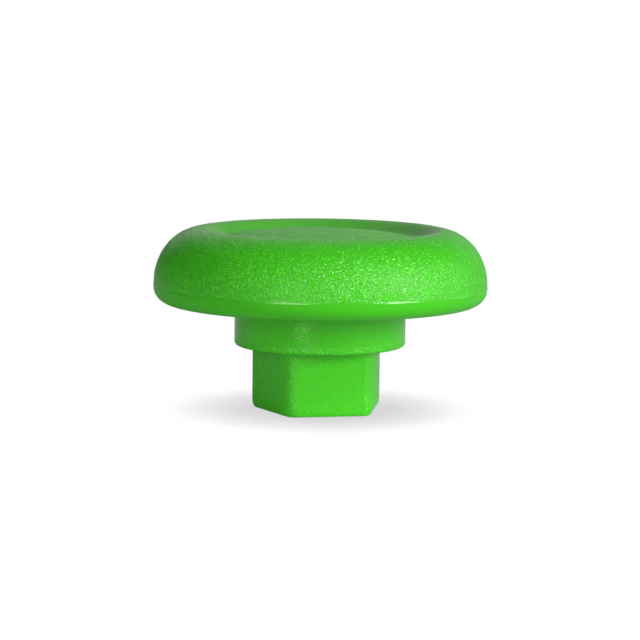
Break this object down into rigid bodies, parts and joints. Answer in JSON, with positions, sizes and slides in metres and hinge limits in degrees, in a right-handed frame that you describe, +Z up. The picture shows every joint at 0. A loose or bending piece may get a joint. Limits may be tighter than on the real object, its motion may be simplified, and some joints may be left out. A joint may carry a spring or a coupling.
{
  "type": "controller thumbstick cap",
  "caption": "Swap-in thumbstick cap for a game controller: wide rolled head with a dished top, short round collar and a five-sided plug, moulded in one piece.",
  "frame": {"origin": "centre of the plug's flat end, on the surface that the cap stands on", "axes": "+Z up along the stick from the plug to the head; one flat of the plug faces -Y"},
  "size_m": [0.0186, 0.0186, 0.0101],
  "materials": {
    "moulded_plastic": "bright green moulded plastic, spark-eroded grain on the rim and dome, satin below the parting line, polished collar"
  },
  "bodies": {
    "root": {"thumbstick_cap": "moulded_plastic"}
  },
  "joints": []
}
